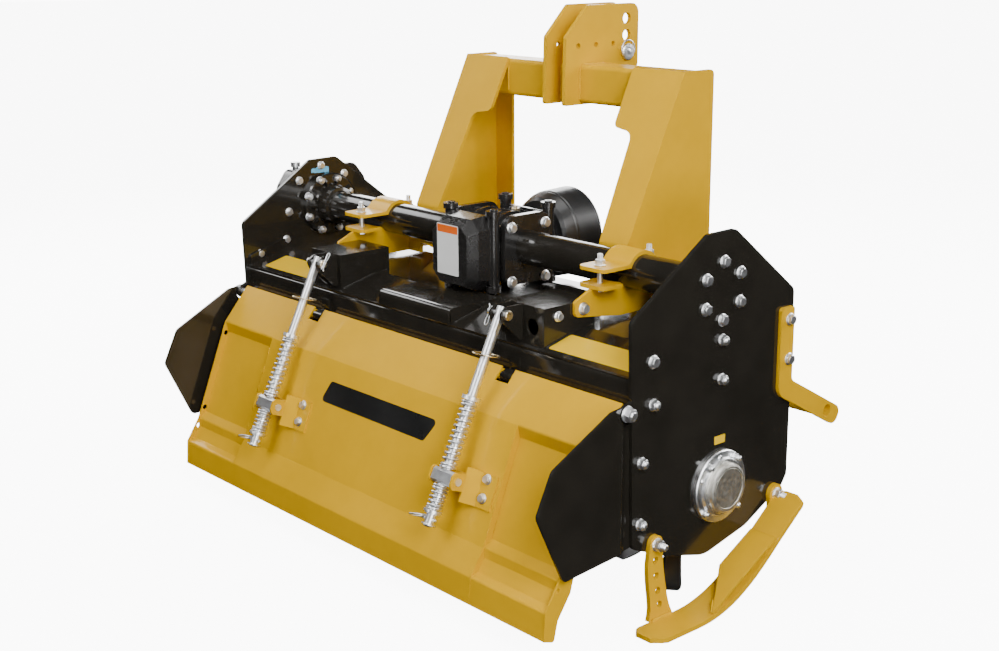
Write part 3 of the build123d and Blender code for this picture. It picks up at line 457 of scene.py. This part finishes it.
def case_fasteners():
    """Screws round the gear case, its level plug, and the covers over its two shafts."""
    form = Form()
    face = span("gear_case", 0)[0]
    low, high = span("gear_case", 2)
    ring = [(-100, 20), (-104, 120), (-104, 220), (-104, 320), (-100, 415), (-62, high - 20),
            (0, high - 16), (62, high - 20), (100, 415), (104, 320), (104, 220), (104, 120),
            (100, 20), (70, -52), (0, low + 14), (-70, -52)]
    for y, z in ring:
        bolt(form, spot("gear_case", (face - 60, y, z), (1, 0, 0))[0], (-1, 0, 0), 8)
    bolt(form, spot("gear_case", (face - 60, 46, 120), (1, 0, 0))[0], (-1, 0, 0), 14)
    form.piece("chain_case_screws", "frame", zinc)
    form = Form()
    for y, z, r in ((0, TUBE_Z, 46), (0, 0, 58)):
        base = seat(spot("gear_case", (face - 60, y, z), (1, 0, 0))[0], (-1, 0, 0))
        turned(form, base, [(r, -1), (r, 2), (r - 3, 4), (r - 12, 4.4), (r - 14, 3), (r * 0.3, 2.6),
                            (r * 0.2, 3.4)], 48)
    form.piece("chain_case_covers", "frame", casting)


def bearing_fasteners():
    """The bearing flange's four bolts, two small bolts, the face of its cap and the blank tag above it."""
    form = Form()
    face = RIGHT + 10
    for y, z, size, stud in ((35, 55, 9, 11), (-51, -45, 9, 5), (44, -49, 9, 5), (-42, 50, 9, 5)):
        nut(form, (face - 2.4, y, z), (1, 0, 0), size, stud, 0.9)
    for y, z in ((-8, 61), (-58, 24)):
        bolt(form, (face - 2.4, y, z), (1, 0, 0), 6)
    form.piece("bearing_bolts", "frame", zinc)
    form = Form()
    turned(form, seat((span("bearing_cap", 0)[1], 0, 0), (1, 0, 0)),
           [(43, -1.2), (42.6, 0.2), (40.6, 0.6), (40.0, -0.4), (20, -0.7), (4, -0.9)], 64)
    form.piece("bearing_cap_face", "frame", cap_metal)
    form = Form()
    slab(form, [(RIGHT, -16, 88), (RIGHT, 16, 88), (RIGHT, 16, 105), (RIGHT, -16, 105)], 2, -0.1, 0.4)
    form.piece("blank_tag", "frame", label_yellow)


# ---- mast, hitch and clamps ----
def mast_fasteners():
    """The clamps' bolts behind and before the tube, the web's bolt, and the hitch pins' ring pins."""
    ear = 22                            # from the tube's middle to the outside of a clamp's ear
    for side, name in SIDES:
        form = Form()
        x = side * CLAMP_X
        for y in (-88, 56):
            nut(form, (x, y, TUBE_Z + ear), (0, 0, 1), 12, 12)
            bolt(form, (x, y, TUBE_Z - ear), (0, 0, -1), 12)
            turned(form, seat((x, y, TUBE_Z - 16), (0, 0, 1)), [(6, 0), (6, 32)], 16)
        web = spot(name + "_clamp_bracket", (side * 480, -138, 342), (-side, 0, 0))[0]
        bolt(form, web, (side, 0, 0), 12)
        form.piece(name + "_clamp_bolts", "frame", zinc)

        form = Form()
        tip = side * span("right_hitch_pin", 0)[1]
        y, z = sum(span("right_hitch_pin", 1)) / 2, sum(span("right_hitch_pin", 2)) / 2
        linch_pin(form, (tip - side * 12, y, z), (0, 0, 1), (side, 0, 0), 11)
        form.piece(name + "_hitch_ring_pin", "frame", golden)


def linch_pin(form, place, along, out, reach):
    """A spring ring pin: a short pin through the shaft, with a ring that snaps round it."""
    place, along, out = Vector(place), Vector(along), Vector(out)
    turned(form, seat(place - along * (reach + 8), along),
           [(2.6, 0), (4.2, 2), (4.2, reach * 2 + 12), (6.5, reach * 2 + 13), (6.5, reach * 2 + 20),
            (5.0, reach * 2 + 21)], 14)
    side = along.cross(out).normalized()
    top = place + along * (reach + 9)
    centre = top - along * (reach + 9)
    radius = reach + 9
    points = []
    for i in range(30):
        a = math.radians(12 + 336 * i / 29)
        bulge = 1 + 0.10 * math.sin(a / 2)
        points.append(centre + (along * math.cos(a) + side * math.sin(a) * bulge) * radius + out * 3)
    wire(form, points, 1.7, 8)


def hair_clip(form, place, along, reach, size=1.0):
    """A spring clip: a straight leg through the pin and a waved leg over it."""
    place, along, reach = Vector(place), Vector(along).normalized(), Vector(reach).normalized()
    leg = [place + along * d * size for d in (-14, 0, 14, 28)]
    loop_at = place + along * 34 * size + reach * 6 * size
    loop = [loop_at + (along * math.sin(a) - reach * math.cos(a)) * 6 * size
            for a in [math.pi * i / 8 for i in range(9)]]
    wave = [(30, 12), (22, 11), (15, 8.5), (8, 7.6), (0, 7.4), (-8, 7.8), (-14, 10), (-18, 13)]
    back = [place + along * d * size + reach * h * size for d, h in wave]
    wire(form, leg + loop + back, 1.5 * size, 8)


def on_deck(x, y):
    """A point on top of the hood's deck."""
    return spot("deck", (x, y, ABOVE_DECK), (0, 0, -1))[0]


def welds():
    """Beads where the yellow frame's plates meet, and where the black hood's do."""
    form = Form()
    back, front = span("mast_crossbeam", 1)
    low, high = span("mast_crossbeam", 2)
    for side in (1, -1):
        x = side * (span("top_link_bracket", 0)[1] + 1)
        bead(form, [(x, back - 0.5, low + 6), (x, back - 0.5, high - 10)])
        bead(form, [(x, back + 8, high + 0.3), (x, front - 8, high + 0.3)])
        bead(form, [(x, front + 0.5, low + 6), (x, front + 0.5, high - 10)])
        x = side * (span("mast_crossbeam", 0)[1] - 1)
        bead(form, [(x, back + 2, low - 0.2), (x, front - 10, low - 0.2)])
        bead(form, [(x, back + 6, high + 0.2), (x, front - 10, high + 0.2)])
        edge = side * (span("right_mast_upright", 0)[0] + 1)
        bead(form, [(edge, back - 0.8, low + 12), (edge, back - 0.8, high - 14)])
        x = side * (span("right_hitch", 0)[1] - 12)
        bead(form, [(x, 190, 318), (x, 190, 366)])
    form.piece("frame_welds", "frame", yellow, 60)

    form = Form()
    for side in (1, -1):
        for cheek in (285, 400):
            x = side * (cheek + 1)
            bead(form, [on_deck(x, y) for y in (-232, -190, -150, -104)], 2.6)
        bead(form, [on_deck(side * 122, y) for y in (-236, -200, -160, -110)], 2.4)
    form.piece("hood_welds", "frame", black, 60)


def top_link_fittings():
    """The ring pin and the clip of the top link pin."""
    form = Form()
    y, z = sum(span("top_link_pin", 1)) / 2, sum(span("top_link_pin", 2)) / 2
    left, right = span("top_link_pin", 0)
    linch_pin(form, (left + 9, y, z), (0, -0.5, 0.86), (-1, 0, 0), 13)
    form.piece("top_link_ring_pin", "frame", zinc)
    form = Form()
    base = seat((right, y, z), (1, 0, 0), 20)
    turned(form, base, [(18, -8.5), (19, -7), (19, -2), (17, -0.3), (8, 0), (6, 0.8)], 32)
    points = arc(seat((right - 3, y, z + 6), (1, 0, 0)), 21, -70, 250, 28)
    wire(form, points, 1.8, 8)
    form.piece("top_link_pin_head", "frame", zinc)


# ---- gearbox ----
def on_gearbox(x, y):
    """A point on top of the gearbox."""
    return spot("gearbox_housing", (x, y, ABOVE_GEARBOX), (0, 0, -1))[0]


def gearbox_fittings():
    """The flange bolts of the gearbox, and black screws in the tops of its posts."""
    form = Form()
    for side in (1, -1):
        face = side * span("gearbox_housing", 0)[1]
        for y in (50, -50):
            for z in (449, 328):
                bolt(form, (face, y, z), (side, 0, 0), 12)
    form.piece("gearbox_bolts", "frame", zinc)
    form = Form()
    for side in (1, -1):
        for y in (-80, 82):
            turned(form, seat(on_gearbox(side * 72, y), (0, 0, 1)),
                   [(9, -1), (9, 2.5), (8.2, 3.3), (4.4, 3.3), (4.2, 0.8)], 20)
    form.piece("gearbox_post_screws", "frame", casting)


def gearbox_plugs():
    """The oil plug, and the lobed plug of the dipstick."""
    form = Form()
    base = seat(on_gearbox(20, 30), (0, 0, 1), 12)
    turned(form, base, [(13, -1.5), (13, 4), (11, 5)], 24)
    hexagon(form, base, 19, 4.6, 15)
    turned(form, base, [(5, 14.8), (5, 19), (3.6, 20.5)], 16)
    form.piece("oil_plug", "frame", golden)
    form = Form()
    base = seat(on_gearbox(-14, 60), (0, 0, 1))
    count = 48
    steps = [math.tau * i / count for i in range(count)]
    rings = []
    for h, r in ((-2, 13), (2, 13), (3, 14.5), (15, 14.5), (17, 13), (17.6, 9)):
        lobed = [r - (0.9 if i % 4 == 0 and 2 < h < 16 else 0) for i in range(count)]
        rings.append([base @ Vector((q * math.cos(a), q * math.sin(a), h)) for q, a in zip(lobed, steps)])
    form.skin(rings)
    form.piece("dipstick_plug", "frame", plastic)


def gearbox_sticker():
    """A blank sticker on the rear cover: white with an orange band."""
    cover = span("gearbox_housing", 1)[0]
    y = spot("gearbox_housing", (-6, cover - 60, 400), (0, 1, 0))[0].y
    form = Form()
    slab(form, [(-42, y, 344), (30, y, 344), (30, y, 456), (-42, y, 456)], 3, -0.1, 0.45)
    form.piece("blank_sticker", "frame", label_white)
    form = Form()
    slab(form, [(-40, y, 437), (28, y, 437), (28, y, 454), (-40, y, 454)], 2, 0.4, 0.6)
    form.piece("sticker_band", "frame", label_orange)


# ---- hood ----
def hood_labels():
    """Blank yellow stickers on the deck's slope, one each side."""
    form = Form()
    rear, front = -232, -168
    for x0, x1 in ((405, 635), (-618, -418)):
        corners = [on_deck(x, y) for x, y in ((x0, rear), (x1, rear), (x1, front), (x0, front))]
        slab(form, corners, 5, 0.0, 0.5)
    form.piece("deck_labels", "frame", label_yellow)


def hood_fasteners():
    """Bolts in the hangers' cheeks and along the front of the deck."""
    form = Form()
    for side, name in SIDES:
        for y in (-200, -140):
            bolt(form, spot(name + "_hanger", (side * 480, y, 335), (-side, 0, 0))[0], (side, 0, 0), 10)
    for x in (-560, -200, 200, 560):
        bolt(form, on_deck(x, 150), (0, 0, 1), 10)
    form.piece("hood_bolts", "frame", zinc)


# ---- tailgate ----
KNEE, WAIST = Vector((0, -338, 148)), Vector((0, -429, -82))


def on_gate(x, down):
    """A point on the outside of the tailgate's middle panel, down from its knee."""
    y, z = KNEE.lerp(WAIST, down / (WAIST - KNEE).length)[1:]
    return spot("tailgate_panel", (x, y - 60, z - 24), (0, 0.93, 0.37))[0]


def tailgate_fittings():
    """The blank band, the brackets' bolts, and stitch welds along the ribs."""
    form = Form()
    slab(form, [on_gate(-187, 95), on_gate(180, 96), on_gate(208, 46), on_gate(-167, 46)], 9, 0.0, 0.4)
    form.piece("blank_decal", "tailgate", label_black)
    form = Form()
    for name in ("right", "left"):
        x = span(name + "_trunnion_bracket", 0)[1] - 26
        for z in (38, 2):
            place, facing = spot(name + "_trunnion_bracket", (x, -520, z), (0, 1, 0))
            bolt(form, place, facing, 10)
    form.piece("trunnion_bracket_bolts", "tailgate", zinc)
    form = Form()
    rib, stitch = 431.5, 16
    for side in (1, -1):
        for start in range(24, 209, 46):
            bead(form, [on_gate(side * rib, start), on_gate(side * rib, start + stitch)], 1.6)
    form.piece("tailgate_welds", "tailgate", yellow, 60)


def rear_lip():
    """The hood's sheet below the rear beam, just inside the tailgate's hinge, with a hemmed lower edge."""
    top = span("rear_beam", 2)[0]
    inside, foot = span("rear_beam", 1)[0] + 4, top - 38
    first, last = LEFT_IN + 1, RIGHT_IN - 1
    form = Form()
    corners = [(first, inside, top + 2), (first, inside, foot), (last, inside, foot), (last, inside, top + 2)]
    slab(form, corners, 4, 0.0, 3.5)
    wire(form, [Vector((first + 4, inside - 1.8, foot)), Vector((last - 4, inside - 1.8, foot))], 2.6, 8)
    form.piece("hood_rear_lip", "frame", black)


# ---- spring rods ----
UPPER_COIL, LOWER_COIL, COIL_R = (182.5, 325.5), (356.5, 409.5), 14.2    # along the rod from its pin
UPPER_TURNS, LOWER_TURNS = 13.5, 6.5


def coil(form, base, low, high, turns, radius, thick):
    """A coil spring up the frame's z axis, its end turns wound close."""
    steps = round(turns * 20)
    close = 1.2                         # turns wound close at each end
    ends, rise, tall = close / turns, close * thick * 2, high - low - 2 * thick
    points = []
    for i in range(steps + 1):
        t = i / steps
        if t < ends:
            h = t * turns * thick * 2
        elif t > 1 - ends:
            h = tall - (1 - t) * turns * thick * 2
        else:
            h = rise + (tall - 2 * rise) * (t - ends) / (1 - 2 * ends)
        a = math.tau * turns * t
        points.append(base @ Vector((radius * math.cos(a), radius * math.sin(a), low + thick + h)))
    wire(form, points, thick, 8)


def rod_coils(pin, name):
    """The upper coil, drawn at one length on a mesh of its own, and the lower one."""
    base, body = seat(pin, ROD_DIR), name + "_rod_set"
    form = Form()
    coil(form, base, *UPPER_COIL, UPPER_TURNS, COIL_R, 2.7)
    upper = form.piece(name + "_coil", body, zinc)
    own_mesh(upper)
    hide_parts(name + "_spring")
    form = Form()
    coil(form, base, *LOWER_COIL, LOWER_TURNS, COIL_R, 2.5)
    lower = form.piece(name + "_lower_coil", body, zinc)
    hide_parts(name + "_lower_spring")


def rod_rings(pin, name):
    """The washers and ring pin at the rod's end, and a loose wire ring near its top."""
    body = name + "_rod_set"
    form = Form()
    washer(form, seat(pin + ROD_DIR * 415.2, ROD_DIR), 16, 2.6)
    turned(form, seat(pin + ROD_DIR * 438, ROD_DIR), [(11, 0), (15, 0.6), (15, 2.6), (11, 3.4), (9, 5.6)], 28)
    end = pin + ROD_DIR * 428
    turned(form, seat(end + Vector((18, 0, 0)), (-1, 0, 0)), [(2.4, 0), (3.0, 1), (3.0, 34), (2, 35)], 12)
    across = ROD_DIR.cross(Vector((1, 0, 0))).normalized()
    points = [end + Vector((-33 + 20 * math.cos(a), 0, 0)) + across * 19 * math.sin(a)
              + ROD_DIR * (-5 * math.cos(a) + 2) for a in [math.tau * i / 32 for i in range(32)]]
    wire(form, points, 2.0, 8, loop=True)
    turned(form, seat(end + Vector((-13, 0, 0)), (-1, 0, 0)), [(4, 0), (5, 1), (5, 7), (4, 8)], 14)
    form.piece(name + "_rod_ring_pin", body, zinc)
    form = Form()
    points = [pin + ROD_DIR * (86 + 5 * math.sin(a)) + Vector((27 * math.cos(a), 0, 0))
              + Vector((0, -0.9, 0.43)) * 27 * math.sin(a)
              for a in [math.tau * i / 36 for i in range(36)]]
    wire(form, points, 1.7, 8, loop=True)
    form.piece(name + "_rod_wire_ring", body, golden)


def rod_pin_fittings(pin, side, name):
    """The head and the spring clip of the pin in the hanger's ears."""
    form = Form()
    first, last = span(name + "_rod_pin", 0)
    hexagon(form, seat((last, pin.y, pin.z), (1, 0, 0), 10), 18, -8, 1.4)
    form.piece(name + "_rod_pin_head", "frame", golden)
    form = Form()
    if side > 0:
        hair_clip(form, (first + 5, pin.y, pin.z), (0, -0.35, -0.94), (-1, 0, 0), 0.75)
    else:
        hair_clip(form, (last + 4, pin.y - 4, pin.z), (0, 0.5, 0.87), (1, 0, 0), 0.75)
    form.piece(name + "_rod_pin_clip", "frame", zinc)


def rod_fittings():
    """Both spring rods."""
    for side, name in SIDES:
        pin = Vector((side * ROD_X, ROD_PIN.y, ROD_PIN.z))
        rod_coils(pin, name)
        rod_rings(pin, name)
        rod_pin_fittings(pin, side, name)


# ---- skids ----
def round_end(middle, radius, start, stop, step):
    """Points round a bolt from one angle to another in degrees, in (y, z)."""
    return [(middle[0] + radius * math.cos(math.radians(a)), middle[1] + radius * math.sin(math.radians(a)))
            for a in range(start, stop, step)]


def skid_strap(form, inner, outer, sole):
    """The curved strap that slides on the ground, its ends cut and rounded."""
    thick, bevel, tip_r = 10, 0.9, 20
    rise = ((-255, 0), (-200, 0), (-140, 0), (-90, 4), (-36, 19), (16, 45), (62, 77), (104, 111), (146, 144),
            (190, 178))                 # y, and height above the sole
    under = smooth([(0, y, sole + z) for y, z in rise], 6)
    length = [0.0]
    for a, b in zip(under, under[1:]):
        length.append(length[-1] + (b - a).length)
    way = 1 if outer > inner else -1
    rings = []
    for i, point in enumerate(under):
        ahead = (under[min(i + 1, len(under) - 1)] - under[max(i - 1, 0)]).normalized()
        top = point + Vector((0, -ahead.z, ahead.y)) * thick
        near, far = length[i], length[-1] - length[i]
        tip = tip_r - math.sqrt(max(0, tip_r ** 2 - (tip_r - far) ** 2)) if far < tip_r else 0
        x0 = inner + way * (max(0, 12 - near) * bevel + tip)
        x1 = outer - way * (max(0, 24 - near) * bevel + tip)
        rings.append([Vector((x0, *point.yz)), Vector((x1, *point.yz)),
                      Vector((x1, *top.yz)), Vector((x0, *top.yz))])
    form.skin(rings)


def skid_upright(form, x0, x1, foot):
    """A bowed bar with a row of holes, from the rear bolt down onto the strap."""
    rear = smooth([(-209, -84, 0), (-212, -112, 0), (-210, -145, 0), (-205, -180, 0), (-203, -206, 0),
                   (-207, foot, 0)], 4)
    front = smooth([(-139, foot, 0), (-149, -206, 0), (-157, -178, 0), (-164, -145, 0),
                    (-169, -112, 0), (-171, -84, 0)], 4)
    outline = round_end(SKID_REAR, 18, 0, 181, 18) + [(p.x, p.y) for p in rear + front]
    holes = [round_hole(y, z, 7) for y, z in
             ((-190.5, -103), (-188, -136), (-183, -168), (-177, -199))]
    cut_plate(form, outline, holes, x0, x1)


def skid(side, name):
    """A curved strap under a perforated upright, a bolted ear and a plate across the bend."""
    face = RIGHT if side > 0 else -LEFT
    near_x, far_x = face + 10, span("right_skid", 0)[1] - RIGHT + face
    plate, inner, outer = side * face, side * near_x, side * far_x
    sole = span("right_skid", 2)[0]
    foot = sole + 10                    # the strap's upper side, where it lies on the ground
    form = Form()
    skid_strap(form, inner, outer, sole)
    skid_upright(form, plate, inner, foot)
    # the ear is a drop that hangs from the front bolt
    drop = round_end(SKID_FRONT, 21, -20, 201, 11) + [(158, -88), (148, -108), (164, -106)]
    cut_plate(form, drop, [round_hole(*SKID_FRONT, 7)], plate, inner)
    # the plate across the bend is cut slantwise behind
    low, high = Vector((0, -104, foot)), Vector((0, 96, sole + 118))
    near, far = low.lerp(high, 0.04), low.lerp(high, 0.52)
    up = Vector((0, -(high - low).z, (high - low).y)).normalized() * 5
    x0, x1 = side * (near_x + 2), side * (far_x - 2)
    rim = [Vector((x1, *near.yz)), Vector((x1, *high.yz)), Vector((x0, *high.yz)), Vector((x0, *far.yz))]
    form.skin([rim, [p + up for p in rim]])
    bead(form, [(x0, -200, foot + 1), (x0, -144, foot + 1)], 3.2)
    bead(form, [(side * (far_x - 6), *(near + up * 0.5).yz),
                (side * (far_x - 24), *(low.lerp(high, 0.17) + up * 0.5).yz)], 3)
    bead(form, [(x0, 152, -98), (x0, 168, -84)], 3)
    made = form.piece(name + "_skid_shoe", "frame", yellow, 40)
    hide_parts(name + "_skid")


# ---- paint mark on the left plate ----
def paint_mark():
    """A dab of blue paint from assembly, with a ragged rim."""
    form = Form()
    outline = [(-50 + 6 * i, 492 + chance.uniform(0, 4) - (3 if i in (0, 9) else 0)) for i in range(10)]
    outline += [(4 - 6 * i, 482 + chance.uniform(-3, 1)) for i in range(10)]
    cut_plate(form, outline, [], LEFT_IN - 0.1, LEFT_IN + 0.3)
    form.piece("paint_mark", "frame", label_blue)


# ---- rotor ----
FLANGES, FLANGE_STEP = 6, 22.4          # each flange is turned by the step from the one before
FLANGE_INSET, BLADE_START = 43, 160     # the end flanges' distance inside the plates, the first blade's angle


def blade_fasteners():
    """Two bolts through the root of each blade, in the flange beside it."""
    form = Form()
    x0, x1 = LEFT_IN + FLANGE_INSET, RIGHT_IN - FLANGE_INSET
    for i in range(FLANGES):
        x = x0 + (x1 - x0) / (FLANGES - 1) * i
        at_end = i in (0, FLANGES - 1)
        count = 4 if at_end else 6
        for k in range(count):
            a = math.radians(BLADE_START - FLANGE_STEP * i + 360 / count * k)
            out = (1 if i == 0 else -1) if at_end else (-1 if k % 2 else 1)
            for reach in (62, 82):
                place = (x + out * 4, reach * math.cos(a), reach * math.sin(a))
                hexagon(form, seat(place, (out, 0, 0)), 19, 0, 8)
    form.piece("blade_bolts", "rotor", zinc)


plate_fasteners()
case_fasteners()
bearing_fasteners()
mast_fasteners()
welds()
top_link_fittings()
gearbox_fittings()
gearbox_plugs()
gearbox_sticker()
hood_labels()
hood_fasteners()
rear_lip()
tailgate_fittings()
rod_fittings()
for side, name in SIDES:
    skid(side, name)
paint_mark()
blade_fasteners()


# ---- camera ----
def aim_camera():
    """The camera stands behind the right rear corner and looks slightly down."""
    data = bpy.data.cameras.new("camera")
    data.sensor_width = 36.0
    data.lens = 52.83
    camera = bpy.data.objects.new("camera", data)
    bpy.context.scene.collection.objects.link(camera)
    camera.location = at(2430.2, -2145.0, 1066.3)
    azimuth, down, roll = math.radians(48.6), math.radians(14.93), math.radians(-0.36)
    turn = Euler((math.pi / 2 - down, 0.0, azimuth), "XYZ").to_matrix()
    camera.rotation_euler = (turn @ Euler((0, 0, roll)).to_matrix()).to_euler()
    bpy.context.scene.camera = camera


aim_camera()


# ---- studio ----
def plain(name, points, faces, material):
    """A piece of the studio, left out of the model."""
    mesh = bpy.data.meshes.new(name)
    mesh.from_pydata(points, [], faces)
    mesh.materials.append(material)
    made = bpy.data.objects.new(name, mesh)
    bpy.context.scene.collection.objects.link(made)
    return made


def make_studio():
    """A pale floor that runs into a pale wall all round, and soft lights."""
    paint, bsdf = shader("floor_paint", Roughness=0.8, Emission_Color=(1, 1, 1, 1), Emission_Strength=9.0)
    bsdf.inputs["Base Color"].default_value = (0.86, 0.86, 0.86, 1)
    bsdf.inputs["Specular IOR Level"].default_value = 0.0
    half = 30.0
    floor = plain("floor", [(-half, -half, 0), (half, -half, 0), (half, half, 0), (-half, half, 0)],
                  [(0, 1, 2, 3)], paint)
    floor.visible_glossy = False
    floor.visible_diffuse = False
    glow, bsdf = shader("wall_paint", Roughness=0.8, Emission_Color=(1, 1, 1, 1), Emission_Strength=10.0)
    bsdf.inputs["Base Color"].default_value = (0.9, 0.9, 0.9, 1)
    count, high = 48, 24.0
    ring = [(half * math.cos(math.tau * i / count), half * math.sin(math.tau * i / count))
            for i in range(count)]
    points = [(x, y, -0.01) for x, y in ring] + [(x, y, high) for x, y in ring]
    faces = [(i, (i + 1) % count, (i + 1) % count + count, i + count) for i in range(count)]
    faces.append(tuple(range(count, 2 * count)))
    wall = plain("wall", points, faces, glow)
    for seen in ("visible_glossy", "visible_diffuse", "visible_shadow", "visible_transmission"):
        setattr(wall, seen, False)
    world = bpy.data.worlds.new("studio")
    world.use_nodes = True
    tree = world.node_tree
    split = tree.nodes.new("ShaderNodeSeparateXYZ")
    tree.links.new(tree.nodes.new("ShaderNodeTexCoord").outputs["Generated"], split.inputs["Vector"])
    tree.links.new(spread(tree, split.outputs["Z"], 0.30, 0.50, -0.3, 0.5),
                   tree.nodes["Background"].inputs["Strength"])
    bpy.context.scene.world = world
    # each lamp's name, place, power in watts, width and height
    lamps = [("key", (3.2, -1.2, 2.7), 145, 1.6, 1.6),
             ("back", (-0.5, -3.7, 2.9), 105, 2.4, 1.6),
             ("side", (-3.4, -0.4, 2.2), 60, 1.4, 2.0),
             ("front", (1.6, 3.6, 2.2), 130, 2.2, 1.6),
             ("corner", (-3.2, 2.4, 1.8), 90, 1.8, 1.6),
             ("top", (0.3, -0.3, 3.8), 55, 2.0, 2.0),
             ("low", (3.4, -2.0, 0.5), 60, 1.6, 0.8)]
    for name, place, power, width, height in lamps:
        light = bpy.data.lights.new(name, "AREA")
        light.shape = "RECTANGLE"
        light.energy, light.size, light.size_y = power, width, height
        lamp = bpy.data.objects.new(name, light)
        bpy.context.scene.collection.objects.link(lamp)
        lamp.location = place
        lamp.rotation_euler = (Vector((0, 0, 0.4)) - Vector(place)).to_track_quat("-Z", "Y").to_euler()


make_studio()
